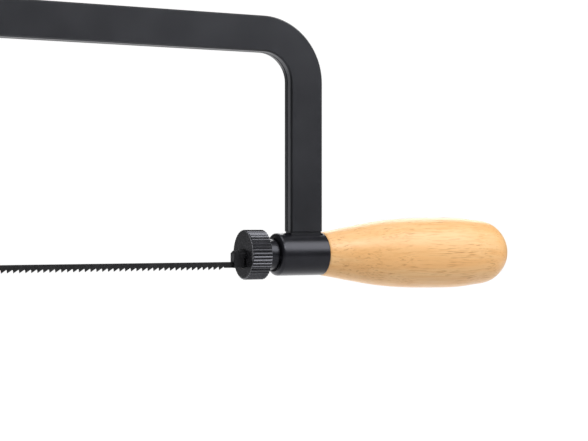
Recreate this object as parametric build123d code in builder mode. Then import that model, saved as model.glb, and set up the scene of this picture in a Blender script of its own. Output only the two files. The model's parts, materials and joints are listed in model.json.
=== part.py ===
from build123d import *

import math
import os

# Coping saw with a deep flat-bar bow, a turned wooden grip and a knurled tension knob.
# Millimetres. The origin is on the grip's axis, half way along it. +X runs along the
# blade towards the butt of the grip, +Z rises to the bow's top bar, and Y goes across.
# The blade holders turn about the X axis.

# ---- Driving dimensions: blade ----
BLADE_LENGTH = 165.0
BLADE_THICKNESS = 0.5
BLADE_BODY = 3.18  # height from the back to the plain lower edge
BLADE_BACK_Z = -3.86
TOOTH_PITCH = 25.4 / 8
TOOTH_COUNT = 40
TOOTH_DROP = 1.06  # tips below the plain lower edge
GULLET_RISE = 0.54  # gullets above the plain lower edge
TOOTH_FACE_RUN = 0.25  # how far the steep front face leans
GULLET_FLAT = 0.5
TOOTH_START = 29.0  # plain stretch at the toe end
TANG_LENGTH = 16.0
TANG_RISE = 1.7  # the toe tang stands this far above the back
TANG_SLOPE = 3.0
PIN_RADIUS = 0.75
PIN_LENGTH = 3.6
HEEL_PIN_INSET = 1.5
TOE_PIN_INSET = 8.4
PIN_HOLE_PLAY = 0.02

# ---- Driving dimensions: grip and sockets ----
GRIP_LENGTH = 122.0
GRIP_FRONT_RADIUS = 12.2
GRIP_FRONT_BREAK = 0.5
GRIP_BORE_DEPTH = 49.0
SOCKET_RADIUS = 11.9
SOCKET_LENGTH = 29.8
SOCKET_ROUND = 2.5
SOCKET_REAR_BREAK = 0.4
TOE_SOCKET_LENGTH = 22.5
SADDLE_Z = 10.5  # flat on each socket that the bow's foot stands on
SADDLE_LENGTH = 20.5
SADDLE_WIDTH = 12.4
SADDLE_CORNER = 2.5
TENON_LENGTH = 12.0
TENON_WIDTH = 6.0
TENON_DEPTH = 2.9
TANG_STUD_RADIUS = 4.0
TANG_STUD_GRIP = 5.0  # length screwed into the socket
TANG_STUD_REACH = 41.0  # length inside the grip
INSERT_RADIUS = 6.0
INSERT_LENGTH = 25.0

# ---- Driving dimensions: bow ----
BAR_WIDTH = 19.5
BAR_THICKNESS = 9.2
BAR_TOP_Z = 131.5
BAR_EDGE_BREAK = 1.05
BEND_INNER = 16.25
FOOT_Z = 12.7
FOOT_INSET = 1.0  # the waist under the foot is this much smaller all round
LEG_SETBACK = 11.15  # heel leg's centre ahead of the grip's front
SEAM_WIDTH = 0.5  # groove along the middle of the bar's narrow sides
SEAM_DEPTH = 0.3

# ---- Driving dimensions: tension knob, screw and blade holders ----
KNOB_RADIUS = 13.75
KNOB_LENGTH = 11.6
KNOB_FRONT_BREAK = 0.8
KNOB_BACK_BREAK = 0.25
KNURL_COUNT = 41
KNURL_DEPTH = 0.6
KNOB_WEB = 5.5  # solid front of the knob, ahead of the screw's spigot
NECK_RADIUS = 8.5
NECK_GAP = 6.9  # neck that shows between knob and socket
NECK_ENTRY = 3.5  # neck inside the socket's counterbore at full tension
NECK_PLAY = 0.3
SPIGOT_RADIUS = 6.5
COUNTERBORE_DEPTH = 4.0
SCREW_RADIUS = 6.0
SCREW_LENGTH = 13.3
TENSION_TRAVEL = 1.875  # one and a half turns of the 1.25 mm thread
HOLDER_REACH = 6.4  # heel holder's tip ahead of the knob's face
HOLDER_WIDTH = 5.4
HOLDER_TOP_Z = 2.26
HOLDER_BOTTOM_Z = -7.1
HOLDER_TIP_BREAK = 1.4
HOLDER_EDGE_BREAK = 0.25
HOLDER_GAP = 0.3  # heel holder's head to the knob's face
TOE_HEAD_LENGTH = 14.3
HOOK_WALL = 1.77  # metal between a holder's tip and its pin pocket
PIN_END_PLAY = 0.3
PIN_PLAY = 0.1
SLOT_WIDTH = 0.7
SLOT_HEADROOM = 0.45
SLOT_END_PLAY = 0.5
SHANK_RADIUS = 3.0
SHANK_ROOT = 2.0  # shank forged into the head over this length
SHANK_PAST_NUT = 0.4
RUNNING_PLAY = 0.1
THREAD_PLAY = 0.05
FIT_PLAY = 0.02
THRUST_GAP = 0.05
THRUST_WASHER_RADIUS = 5.8
THRUST_WASHER_THICKNESS = 1.0
NUT_ACROSS_FLATS = 10.0
NUT_HEIGHT = 5.0
TOE_GAP = 1.5  # toe holder's head to the toe socket
TOE_WASHER_RADIUS = 6.0
TOE_WASHER_THICKNESS = 1.2
CAP_NUT_SKIRT = 4.5
CAP_NUT_DOME = 4.6
CAP_NUT_DEPTH = 6.0

# ---- Places along X, worked out from the sizes above ----
grip_front = -GRIP_LENGTH / 2
grip_butt = GRIP_LENGTH / 2
socket_front = grip_front - SOCKET_LENGTH
knob_back = socket_front - NECK_GAP
knob_face = knob_back - KNOB_LENGTH
spigot_front = knob_face + KNOB_WEB
neck_back = socket_front + NECK_ENTRY
screw_end = neck_back + SCREW_LENGTH
thrust_washer_front = screw_end + THRUST_GAP
lock_nut_front = thrust_washer_front + THRUST_WASHER_THICKNESS + THRUST_GAP
heel_shank_end = lock_nut_front + NUT_HEIGHT + SHANK_PAST_NUT
bore_bottom = heel_shank_end + SHANK_PAST_NUT
heel_tip = knob_face - HOLDER_REACH
heel_head_length = HOLDER_REACH - HOLDER_GAP
heel_pin_x = heel_tip + HOOK_WALL + THRUST_GAP + PIN_RADIUS
blade_heel = heel_pin_x + HEEL_PIN_INSET
blade_toe = blade_heel - BLADE_LENGTH
toe_pin_x = blade_toe + TOE_PIN_INSET
toe_tip = toe_pin_x + HOOK_WALL + THRUST_GAP + PIN_RADIUS
toe_head_back = toe_tip - TOE_HEAD_LENGTH
toe_socket_back = toe_head_back - TOE_GAP
toe_socket_front = toe_socket_back - TOE_SOCKET_LENGTH
toe_washer_back = toe_socket_front - THRUST_GAP
cap_nut_back = toe_washer_back - TOE_WASHER_THICKNESS
toe_shank_end = cap_nut_back - CAP_NUT_DEPTH + SHANK_PAST_NUT
heel_leg_x = grip_front - LEG_SETBACK
toe_leg_x = (toe_socket_front + toe_socket_back) / 2

# ---- Heights, worked out ----
blade_edge_z = BLADE_BACK_Z - BLADE_BODY
tang_top_z = BLADE_BACK_Z + TANG_RISE
heel_pin_z = (BLADE_BACK_Z + blade_edge_z) / 2
toe_pin_z = (tang_top_z + blade_edge_z) / 2
tenon_floor_z = SADDLE_Z - TENON_DEPTH
bar_under_z = BAR_TOP_Z - BAR_WIDTH
nut_corner_radius = NUT_ACROSS_FLATS / math.sqrt(3)


os.makedirs("parts", exist_ok=True)


def socket_blank(front, back, front_round, back_round, saddle_x):
    """A round socket along X, with the flat and the tenon pocket for one foot of the bow."""
    with BuildPart() as blank:
        with BuildSketch(Plane.YZ.offset(front)):
            Circle(SOCKET_RADIUS)
        extrude(amount=back - front)
        ends = blank.edges().filter_by(GeomType.CIRCLE).sort_by(Axis.X)
        fillet(ends[0], front_round)
        fillet(blank.edges().filter_by(GeomType.CIRCLE).sort_by(Axis.X)[-1], back_round)
        with BuildSketch(Plane.XY.offset(SADDLE_Z)) as saddle:
            with Locations((saddle_x, 0)):
                Rectangle(SADDLE_LENGTH, SADDLE_WIDTH)
            fillet(saddle.vertices(), SADDLE_CORNER)
        extrude(amount=SOCKET_RADIUS, mode=Mode.SUBTRACT)
        with BuildSketch(Plane.XY.offset(SADDLE_Z)):
            with Locations((saddle_x, 0)):
                Rectangle(TENON_LENGTH + 2 * FIT_PLAY, TENON_WIDTH + 2 * FIT_PLAY)
        extrude(amount=-TENON_DEPTH - FIT_PLAY, mode=Mode.SUBTRACT)
    return blank.part


def hook_holder(tip, away, head_length, slot_length, pocket_length, pin_z, slot_top_z, shank_end):
    """A blade holder: a flat head with a blade slot and a pin pocket between its cheeks, on a shank.

    away is 1 where the shank runs to +X from the tip, and -1 where it runs to -X.
    """
    head_mid_z = (HOLDER_TOP_Z + HOLDER_BOTTOM_Z) / 2
    with BuildPart() as holder:
        with BuildSketch(Plane.XZ) as head:
            with Locations((tip + away * head_length / 2, head_mid_z)):
                Rectangle(head_length, HOLDER_TOP_Z - HOLDER_BOTTOM_Z)
            tip_corners = head.vertices().sort_by(Axis.X)[:2] if away > 0 else head.vertices().sort_by(Axis.X)[-2:]
            chamfer(tip_corners.sort_by(Axis.Y)[-1], HOLDER_TIP_BREAK)
        extrude(amount=HOLDER_WIDTH / 2, both=True)
        chamfer(holder.faces().filter_by(Axis.Y).edges(), HOLDER_EDGE_BREAK)
        head_back = tip + away * (head_length - SHANK_ROOT)
        with BuildSketch(Plane.YZ.offset(head_back)):
            Circle(SHANK_RADIUS)
        extrude(amount=shank_end - head_back)
        with BuildSketch(Plane.XZ):
            with Locations((tip + away * slot_length / 2, (slot_top_z + HOLDER_BOTTOM_Z) / 2)):
                Rectangle(slot_length, slot_top_z - HOLDER_BOTTOM_Z)
        extrude(amount=SLOT_WIDTH / 2, both=True, mode=Mode.SUBTRACT)
        pocket_top_z = pin_z + PIN_RADIUS + PIN_PLAY
        with BuildSketch(Plane.XZ) as pocket:
            with Locations((tip + away * (HOOK_WALL + pocket_length / 2), (pocket_top_z + HOLDER_BOTTOM_Z) / 2)):
                Rectangle(pocket_length, pocket_top_z - HOLDER_BOTTOM_Z)
            fillet(pocket.vertices().group_by(Axis.Y)[-1], PIN_RADIUS)
        extrude(amount=PIN_LENGTH / 2 + PIN_END_PLAY, both=True, mode=Mode.SUBTRACT)
    return holder.part


def blade_pin(pin_x, pin_z):
    """A cross pin through the blade."""
    with BuildPart() as pin:
        with BuildSketch(Plane.XZ):
            with Locations((pin_x, pin_z)):
                Circle(PIN_RADIUS)
        extrude(amount=PIN_LENGTH / 2, both=True)
    return pin.part


def save(part, name):
    """Label one finished piece and write it."""
    part.label = name
    export_step(part, f"parts/{name}.step")


# ---- Bow: one flat bar bent to a U, with a foot and a tenon at each end ----
bow_length = heel_leg_x - toe_leg_x + BAR_WIDTH
bow_mid_x = (heel_leg_x + toe_leg_x) / 2
throat_length = heel_leg_x - toe_leg_x - BAR_WIDTH
leg_spots = [(heel_leg_x, 0), (toe_leg_x, 0)]

with BuildPart() as frame:
    with BuildSketch(Plane.XZ) as bow_outline:
        with Locations((bow_mid_x, (FOOT_Z + BAR_TOP_Z) / 2)):
            Rectangle(bow_length, BAR_TOP_Z - FOOT_Z)
        fillet(bow_outline.vertices().group_by(Axis.Y)[-1], BEND_INNER + BAR_WIDTH)
        with BuildSketch(mode=Mode.SUBTRACT) as throat_outline:
            with Locations((bow_mid_x, (FOOT_Z + bar_under_z) / 2)):
                Rectangle(throat_length, bar_under_z - FOOT_Z)
            fillet(throat_outline.vertices().group_by(Axis.Y)[-1], BEND_INNER)
    extrude(amount=BAR_THICKNESS / 2, both=True)
    chamfer(frame.faces().filter_by(Axis.Y).edges(), BAR_EDGE_BREAK)
    with BuildSketch(Plane.XZ) as seam:
        add(bow_outline.sketch_local)
        offset(amount=-SEAM_DEPTH, mode=Mode.SUBTRACT)
    extrude(amount=SEAM_WIDTH / 2, both=True, mode=Mode.SUBTRACT)
    with BuildSketch(Plane.XY.offset(SADDLE_Z)):
        with Locations(*leg_spots):
            Rectangle(BAR_WIDTH - 2 * FOOT_INSET, BAR_THICKNESS - 2 * FOOT_INSET)
    extrude(amount=FOOT_Z + SEAM_DEPTH - SADDLE_Z)
    with BuildSketch(Plane.XY.offset(tenon_floor_z)):
        with Locations(*leg_spots):
            Rectangle(TENON_LENGTH, TENON_WIDTH)
    extrude(amount=TENON_DEPTH)
save(frame.part, "frame")

# ---- Handle socket: carries the bow's heel leg, the grip and the tension screw ----
with BuildPart() as handle_socket:
    add(socket_blank(socket_front, grip_front, SOCKET_ROUND, SOCKET_REAR_BREAK, heel_leg_x))
    with BuildSketch(Plane.YZ.offset(socket_front)):
        Circle(NECK_RADIUS + NECK_PLAY)
    extrude(amount=COUNTERBORE_DEPTH, mode=Mode.SUBTRACT)
    with BuildSketch(Plane.YZ.offset(socket_front)):
        Circle(SCREW_RADIUS + THREAD_PLAY)
    extrude(amount=bore_bottom - socket_front, mode=Mode.SUBTRACT)
    with BuildSketch(Plane.YZ.offset(grip_front)):
        Circle(TANG_STUD_RADIUS + FIT_PLAY)
    extrude(amount=-TANG_STUD_GRIP, mode=Mode.SUBTRACT)
save(handle_socket.part, "handle_socket")

# ---- Toe socket: carries the bow's toe leg and the toe holder's shank ----
with BuildPart() as toe_socket:
    add(socket_blank(toe_socket_front, toe_socket_back, SOCKET_ROUND, SOCKET_ROUND, toe_leg_x))
    with BuildSketch(Plane.YZ.offset(toe_socket_front)):
        Circle(SHANK_RADIUS + RUNNING_PLAY)
    extrude(amount=TOE_SOCKET_LENGTH, mode=Mode.SUBTRACT)
save(toe_socket.part, "toe_socket")

# ---- Grip: turned wood, slim at the socket, fullest past its middle, with a blunt round butt ----
grip_profile = [
    (grip_front + GRIP_FRONT_BREAK, GRIP_FRONT_RADIUS),
    (-46.0, 14.8),
    (-25.0, 18.35),
    (7.0, 20.35),
    (37.0, 19.5),
    (52.0, 16.4),
    (59.0, 9.6),
    (grip_butt, 0.0),
]
with BuildPart() as handle:
    with BuildSketch(Plane.XZ):
        with BuildLine():
            Polyline((grip_butt, 0), (grip_front, 0), (grip_front, GRIP_FRONT_RADIUS - GRIP_FRONT_BREAK), grip_profile[0])
            Spline(*grip_profile, tangents=[(1, 0.16), (0, -1)])
        make_face()
    revolve(axis=Axis.X)
    with BuildSketch(Plane.YZ.offset(grip_front)):
        Circle(INSERT_RADIUS + FIT_PLAY)
    extrude(amount=INSERT_LENGTH, mode=Mode.SUBTRACT)
    with BuildSketch(Plane.YZ.offset(grip_front)):
        Circle(TANG_STUD_RADIUS + RUNNING_PLAY)
    extrude(amount=GRIP_BORE_DEPTH, mode=Mode.SUBTRACT)
save(handle.part, "handle")

# ---- Stud and threaded insert that join the grip to its socket ----
with BuildPart() as handle_tang:
    with BuildSketch(Plane.YZ.offset(grip_front - TANG_STUD_GRIP)):
        Circle(TANG_STUD_RADIUS)
    extrude(amount=TANG_STUD_GRIP + TANG_STUD_REACH)
    chamfer(handle_tang.edges().filter_by(GeomType.CIRCLE), GRIP_FRONT_BREAK)
save(handle_tang.part, "handle_tang")

with BuildPart() as handle_insert:
    with BuildSketch(Plane.YZ.offset(grip_front)):
        Circle(INSERT_RADIUS)
        Circle(TANG_STUD_RADIUS + FIT_PLAY, mode=Mode.SUBTRACT)
    extrude(amount=INSERT_LENGTH)
save(handle_insert.part, "handle_insert")

# ---- Tension knob: a knurled wheel with a flat face, bored for the holder's shank and the screw's spigot ----
with BuildPart() as tension_knob:
    with BuildSketch(Plane.YZ.offset(knob_face)):
        Circle(KNOB_RADIUS)
    extrude(amount=KNOB_LENGTH)
    chamfer(tension_knob.edges().filter_by(GeomType.CIRCLE).sort_by(Axis.X)[0], KNOB_FRONT_BREAK)
    chamfer(tension_knob.edges().filter_by(GeomType.CIRCLE).sort_by(Axis.X)[-1], KNOB_BACK_BREAK)
    with BuildSketch(Plane.YZ.offset(knob_face)):
        with PolarLocations(KNOB_RADIUS, KNURL_COUNT):
            Circle(KNURL_DEPTH)
    extrude(amount=KNOB_LENGTH, mode=Mode.SUBTRACT)
    with BuildSketch(Plane.YZ.offset(knob_face)):
        Circle(SHANK_RADIUS + RUNNING_PLAY)
    extrude(amount=KNOB_LENGTH, mode=Mode.SUBTRACT)
    with BuildSketch(Plane.YZ.offset(spigot_front)):
        Circle(SPIGOT_RADIUS + FIT_PLAY)
    extrude(amount=KNOB_LENGTH, mode=Mode.SUBTRACT)
save(tension_knob.part, "tension_knob")

# ---- Tension screw: spigot in the knob, plain neck and hollow thread in the socket ----
with BuildPart() as tension_screw:
    with BuildSketch(Plane.YZ.offset(spigot_front)):
        Circle(SPIGOT_RADIUS)
    extrude(amount=knob_back - spigot_front)
    with BuildSketch(Plane.YZ.offset(knob_back)):
        Circle(NECK_RADIUS)
    extrude(amount=neck_back - knob_back)
    with BuildSketch(Plane.YZ.offset(neck_back)):
        Circle(SCREW_RADIUS)
    extrude(amount=SCREW_LENGTH)
    with BuildSketch(Plane.YZ.offset(spigot_front)):
        Circle(SHANK_RADIUS + RUNNING_PLAY)
    extrude(amount=screw_end - spigot_front, mode=Mode.SUBTRACT)
save(tension_screw.part, "tension_screw")

# ---- Thrust washer between the screw's end and the lock nut ----
with BuildPart() as thrust_washer:
    with BuildSketch(Plane.YZ.offset(thrust_washer_front)):
        Circle(THRUST_WASHER_RADIUS)
        Circle(SHANK_RADIUS + RUNNING_PLAY, mode=Mode.SUBTRACT)
    extrude(amount=THRUST_WASHER_THICKNESS)
save(thrust_washer.part, "thrust_washer")

# ---- Heel holder: its pocket is longer than the pin by the tension travel ----
heel_slot_top_z = BLADE_BACK_Z + SLOT_HEADROOM
heel_slot_length = blade_heel + TENSION_TRAVEL + SLOT_END_PLAY - heel_tip
heel_pocket_length = 2 * PIN_RADIUS + TENSION_TRAVEL + PIN_PLAY
heel_holder = hook_holder(
    heel_tip, 1, heel_head_length, heel_slot_length, heel_pocket_length, heel_pin_z, heel_slot_top_z, heel_shank_end
)
save(heel_holder, "heel_holder")

with BuildPart() as heel_lock_nut:
    with BuildSketch(Plane.YZ.offset(lock_nut_front)):
        RegularPolygon(nut_corner_radius, 6)
        Circle(SHANK_RADIUS + FIT_PLAY, mode=Mode.SUBTRACT)
    extrude(amount=NUT_HEIGHT)
save(heel_lock_nut.part, "heel_lock_nut")

# ---- Toe holder, its washer and its cap nut ----
toe_slot_top_z = tang_top_z + SLOT_HEADROOM
toe_slot_length = toe_tip - blade_toe + SLOT_END_PLAY
toe_pocket_length = 2 * PIN_RADIUS + PIN_PLAY
toe_holder = hook_holder(
    toe_tip, -1, TOE_HEAD_LENGTH, toe_slot_length, toe_pocket_length, toe_pin_z, toe_slot_top_z, toe_shank_end
)
save(toe_holder, "toe_holder")

with BuildPart() as toe_washer:
    with BuildSketch(Plane.YZ.offset(toe_washer_back)):
        Circle(TOE_WASHER_RADIUS)
        Circle(SHANK_RADIUS + FIT_PLAY, mode=Mode.SUBTRACT)
    extrude(amount=-TOE_WASHER_THICKNESS)
save(toe_washer.part, "toe_washer")

dome_x = cap_nut_back - CAP_NUT_SKIRT
with BuildPart() as toe_cap_nut:
    with BuildSketch(Plane.YZ.offset(cap_nut_back)):
        RegularPolygon(nut_corner_radius, 6)
    extrude(amount=-CAP_NUT_SKIRT)
    with BuildSketch(Plane.XZ):
        with BuildLine():
            CenterArc((dome_x, 0), CAP_NUT_DOME, 90, 90)
            Polyline((dome_x - CAP_NUT_DOME, 0), (dome_x, 0), (dome_x, CAP_NUT_DOME))
        make_face()
    revolve(axis=Axis.X)
    with BuildSketch(Plane.YZ.offset(cap_nut_back)):
        Circle(SHANK_RADIUS + FIT_PLAY)
    extrude(amount=-CAP_NUT_DEPTH, mode=Mode.SUBTRACT)
save(toe_cap_nut.part, "toe_cap_nut")

# ---- Blade: a thin strip with a raised toe tang and teeth that point to the toe ----
first_gullet_x = blade_toe + TOOTH_START
gullet_z = blade_edge_z + GULLET_RISE
tip_z = blade_edge_z - TOOTH_DROP
tooth_points = []
for tooth in range(TOOTH_COUNT):
    tooth_x = first_gullet_x + tooth * TOOTH_PITCH
    tooth_points.append((tooth_x, gullet_z))
    tooth_points.append((tooth_x + TOOTH_FACE_RUN, tip_z))
    tooth_points.append((tooth_x + TOOTH_PITCH - GULLET_FLAT, gullet_z))
last_gullet_x = first_gullet_x + TOOTH_COUNT * TOOTH_PITCH

with BuildPart() as blade:
    with BuildSketch(Plane.XZ):
        with BuildLine():
            Polyline(
                (blade_toe, blade_edge_z),
                (first_gullet_x, blade_edge_z),
                *tooth_points,
                (last_gullet_x, blade_edge_z),
                (blade_heel, blade_edge_z),
                (blade_heel, BLADE_BACK_Z),
                (blade_toe + TANG_LENGTH, BLADE_BACK_Z),
                (blade_toe + TANG_LENGTH - TANG_SLOPE, tang_top_z),
                (blade_toe, tang_top_z),
                close=True,
            )
        make_face()
        with Locations((heel_pin_x, heel_pin_z), (toe_pin_x, toe_pin_z)):
            Circle(PIN_RADIUS + PIN_HOLE_PLAY, mode=Mode.SUBTRACT)
    extrude(amount=BLADE_THICKNESS / 2, both=True)
save(blade.part, "blade")

save(blade_pin(heel_pin_x, heel_pin_z), "heel_blade_pin")
save(blade_pin(toe_pin_x, toe_pin_z), "toe_blade_pin")
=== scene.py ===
import json
import logging
import math
from dataclasses import dataclass
from enum import Enum
from typing import Any, Optional, Sequence, Union

import bmesh
import bpy
from mathutils import Matrix, Vector


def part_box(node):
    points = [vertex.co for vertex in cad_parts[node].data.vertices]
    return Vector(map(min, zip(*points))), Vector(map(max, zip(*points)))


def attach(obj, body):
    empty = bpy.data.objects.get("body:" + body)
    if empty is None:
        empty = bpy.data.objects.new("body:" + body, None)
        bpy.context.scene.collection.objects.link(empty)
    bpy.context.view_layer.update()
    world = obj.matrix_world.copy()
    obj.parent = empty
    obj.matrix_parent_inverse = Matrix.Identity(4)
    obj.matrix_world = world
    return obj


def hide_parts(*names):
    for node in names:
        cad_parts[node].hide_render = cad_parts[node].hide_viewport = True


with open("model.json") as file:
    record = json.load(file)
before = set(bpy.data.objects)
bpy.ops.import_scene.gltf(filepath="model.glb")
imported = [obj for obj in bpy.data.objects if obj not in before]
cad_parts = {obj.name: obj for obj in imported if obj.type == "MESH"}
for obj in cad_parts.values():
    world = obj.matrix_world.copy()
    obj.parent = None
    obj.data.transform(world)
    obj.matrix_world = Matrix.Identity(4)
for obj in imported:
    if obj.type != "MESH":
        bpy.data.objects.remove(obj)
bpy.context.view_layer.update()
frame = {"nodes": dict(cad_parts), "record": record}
LOG = logging.getLogger("coping_saw")
MM = 0.001

Point = tuple[float, float]
Colour = tuple[float, float, float]


class Body(str, Enum):
    """The rigid bodies that pieces ride on."""

    FRAME = "frame_body"
    THRUST = "thrust_carrier"
    KNOB = "knob_body"
    HEEL_HOLDER = "heel_holder_body"
    TOE_HOLDER = "toe_holder_body"
    BLADE = "blade_body"


class Slot(str, Enum):
    """The record's material slots."""

    BOW = "bow_black"
    SOCKET = "socket_black"
    KNOB = "knob_black"
    BLACKENED = "blackened_steel"
    STEEL = "plain_steel"
    WOOD = "grip_wood"


# ---------------------------------------------------------------- node trees


class Field:
    """A node socket whose operators add maths nodes to its tree."""

    def __init__(self, sheet: "NodeSheet", socket: bpy.types.NodeSocket) -> None:
        """Wrap one output socket."""
        self.sheet = sheet
        self.socket = socket

    def _maths(self, operation: str, first: Any, second: Any = None) -> "Field":
        """Add one Math node.

        Args:
            operation: Name of the Math node's operation.
            first: First value, a number or a Field.
            second: Second value, or None for an operation on one value.

        Returns:
            The node's result.
        """
        values = {0: first} if second is None else {0: first, 1: second}
        return self.sheet.node("ShaderNodeMath", {"operation": operation}, values)

    def __add__(self, other: Any) -> "Field":
        """Sum."""
        return self._maths("ADD", self, other)

    __radd__ = __add__

    def __sub__(self, other: Any) -> "Field":
        """Difference."""
        return self._maths("SUBTRACT", self, other)

    def __rsub__(self, other: Any) -> "Field":
        """Reflected difference."""
        return self._maths("SUBTRACT", other, self)

    def __mul__(self, other: Any) -> "Field":
        """Product."""
        return self._maths("MULTIPLY", self, other)

    __rmul__ = __mul__

    def __truediv__(self, other: Any) -> "Field":
        """Quotient."""
        return self._maths("DIVIDE", self, other)

    def __mod__(self, other: Any) -> "Field":
        """Remainder."""
        return self._maths("MODULO", self, other)

    def __gt__(self, other: Any) -> "Field":
        """1 where greater, else 0."""
        return self._maths("GREATER_THAN", self, other)

    def __lt__(self, other: Any) -> "Field":
        """1 where less, else 0."""
        return self._maths("LESS_THAN", self, other)

    def clamped(self) -> "Field":
        """The value held between 0 and 1."""
        return self._maths("MINIMUM", self._maths("MAXIMUM", self, 0.0), 1.0)


class NodeSheet:
    """A node tree that pieces of shader or geometry are drawn on."""

    def __init__(self, tree: bpy.types.NodeTree) -> None:
        """Wrap one tree."""
        self.tree = tree

    def node(
        self,
        kind: str,
        settings: Optional[dict[str, Any]] = None,
        values: Optional[dict[Union[int, str], Any]] = None,
        output: Union[int, str] = 0,
    ) -> Field:
        """Add any node.

        Args:
            kind: The node's type name.
            settings: The node's own settings, set first.
            values: Socket name or number to a value, a Field or a list of Fields.
            output: Which output the returned Field wraps.

        Returns:
            The chosen output.
        """
        made = self.tree.nodes.new(kind)
        for key, value in (settings or {}).items():
            setattr(made, key, value)
        for key, value in (values or {}).items():
            for item in value if isinstance(value, list) else [value]:
                if isinstance(item, Field):
                    self.tree.links.new(item.socket, made.inputs[key])
                else:
                    made.inputs[key].default_value = item
        return Field(self, made.outputs[output])

    def noise(
        self, place: Field, size: float, detail: float = 3.0, roughness: float = 0.5
    ) -> Field:
        """Noise of a given grain size.

        Args:
            place: Where to read it.
            size: Grain size, in the units of place.
            detail: Number of finer octaves.
            roughness: Strength of the finer octaves.

        Returns:
            A value near 0 to 1.
        """
        values = {"Vector": place, "Scale": 1.0 / size, "Detail": detail, "Roughness": roughness}
        return self.node("ShaderNodeTexNoise", {"noise_dimensions": "3D"}, values, "Fac")

    def stretched(
        self, place: Field, scale: Sequence[float], shift: Sequence[float] = (0, 0, 0)
    ) -> Field:
        """A place with each axis scaled and shifted."""
        values = {"Vector": place, "Scale": tuple(scale), "Location": tuple(shift)}
        return self.node("ShaderNodeMapping", {"vector_type": "POINT"}, values)

    def remap(
        self, value: Field, low: float, high: float, new_low: float = 0.0, new_high: float = 1.0
    ) -> Field:
        """A value taken from one range to another, smoothly and held inside it."""
        values = {"Value": value, 1: low, 2: high, 3: new_low, 4: new_high}
        return self.node("ShaderNodeMapRange", {"interpolation_type": "SMOOTHSTEP"}, values)

    def blend(self, factor: Any, first: Any, second: Any) -> Field:
        """One colour mixed into another by a factor.

        Args:
            factor: 0 for the first colour, 1 for the second.
            first: A colour or a Field.
            second: A colour or a Field.

        Returns:
            The mixed colour.
        """
        colours = [(*c, 1.0) if isinstance(c, tuple) else c for c in (first, second)]
        values = {0: factor, 6: colours[0], 7: colours[1]}
        return self.node("ShaderNodeMix", {"data_type": "RGBA"}, values, 2)

    def bump(self, height: Field, distance: float, strength: float = 1.0) -> Field:
        """A bumped normal.

        Args:
            height: The relief, 0 to 1.
            distance: Its depth in metres.
            strength: Its share.

        Returns:
            The normal.
        """
        values = {"Height": height, "Distance": distance, "Strength": strength}
        return self.node("ShaderNodeBump", {}, values)


# ---------------------------------------------------------------- finishes


@dataclass(frozen=True)
class Finish:
    """A surface finish. Subclasses paint it with nodes."""

    name: str

    def material(self) -> bpy.types.Material:
        """The finish's material, made once."""
        found = bpy.data.materials.get(self.name)
        if found is not None:
            return found
        made = bpy.data.materials.new(self.name)
        made.use_nodes = True
        sheet = NodeSheet(made.node_tree)
        shader = made.node_tree.nodes["Principled BSDF"]
        place = sheet.node("ShaderNodeTexCoord", {}, {}, "Object")
        for socket, value in self.paint(sheet, place).items():
            if isinstance(value, Field):
                made.node_tree.links.new(value.socket, shader.inputs[socket])
            else:
                plain = (*value, 1.0) if isinstance(value, tuple) else value
                shader.inputs[socket].default_value = plain
        return made

    def paint(self, sheet: NodeSheet, place: Field) -> dict[str, Any]:
        """Draw the finish.

        Args:
            sheet: The material's tree.
            place: Object coordinates, in metres.

        Returns:
            Shader socket names and what feeds them.
        """
        raise NotImplementedError


@dataclass(frozen=True)
class PowderCoat(Finish):
    """Black powder coat: a fine even orange peel with a satin sheen."""

    shade: Colour = (0.0045, 0.0046, 0.0056)
    pale: Colour = (0.009, 0.0092, 0.0106)
    roughness: float = 0.38
    ior: float = 1.6
    sheen: Colour = (0.88, 0.90, 1.0)
    peel_size: float = 0.45 * MM
    peel_depth: float = 0.010 * MM

    def paint(self, sheet: NodeSheet, place: Field) -> dict[str, Any]:
        """Draw cloudy colour, fine speckle and orange peel.

        Args:
            sheet: The material's tree.
            place: Object coordinates, in metres.

        Returns:
            Shader socket names and what feeds them.
        """
        peel = sheet.noise(place, self.peel_size, 2.0, 0.55)
        cloud = sheet.noise(place, 22 * MM, 2.0)
        speck = sheet.remap(sheet.noise(place, 0.28 * MM, 1.0), 0.58, 0.75)
        tint = sheet.remap(cloud + speck * 0.25, 0.3, 0.9)
        rough = self.roughness + (cloud - 0.5) * 0.12 + (peel - 0.5) * 0.10
        return {
            "Base Color": sheet.blend(tint, self.shade, self.pale),
            "Roughness": rough,
            "IOR": self.ior,
            "Specular Tint": self.sheen,
            "Normal": sheet.bump(peel, self.peel_depth, 0.6),
        }


@dataclass(frozen=True)
class SatinBlack(Finish):
    """Smooth satin black lacquer over turned metal, with faint lathe rings round X."""

    shade: Colour = (0.003, 0.003, 0.0045)
    pale: Colour = (0.007, 0.007, 0.0095)
    roughness: float = 0.30
    ring_pitch: float = 0.5 * MM
    ring_depth: float = 0.0015 * MM
    ior: float = 1.5
    sheen: Colour = (0.88, 0.89, 1.0)

    def paint(self, sheet: NodeSheet, place: Field) -> dict[str, Any]:
        """Draw lathe rings under a thin cloudy lacquer.

        Args:
            sheet: The material's tree.
            place: Object coordinates, in metres.

        Returns:
            Shader socket names and what feeds them.
        """
        along = sheet.stretched(place, (1.0, 0.02, 0.02))
        rings = sheet.noise(along, self.ring_pitch, 2.0)
        cloud = sheet.noise(place, 9 * MM, 3.0)
        fine = sheet.noise(place, 0.3 * MM, 2.0)
        return {
            "Base Color": sheet.blend(sheet.remap(cloud, 0.3, 0.8), self.shade, self.pale),
            "Roughness": self.roughness + (cloud - 0.5) * 0.10 + (fine - 0.5) * 0.06,
            "IOR": self.ior,
            "Specular Tint": self.sheen,
            "Normal": sheet.bump(rings * 0.7 + fine * 0.3, self.ring_depth, 0.7),
        }


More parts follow.
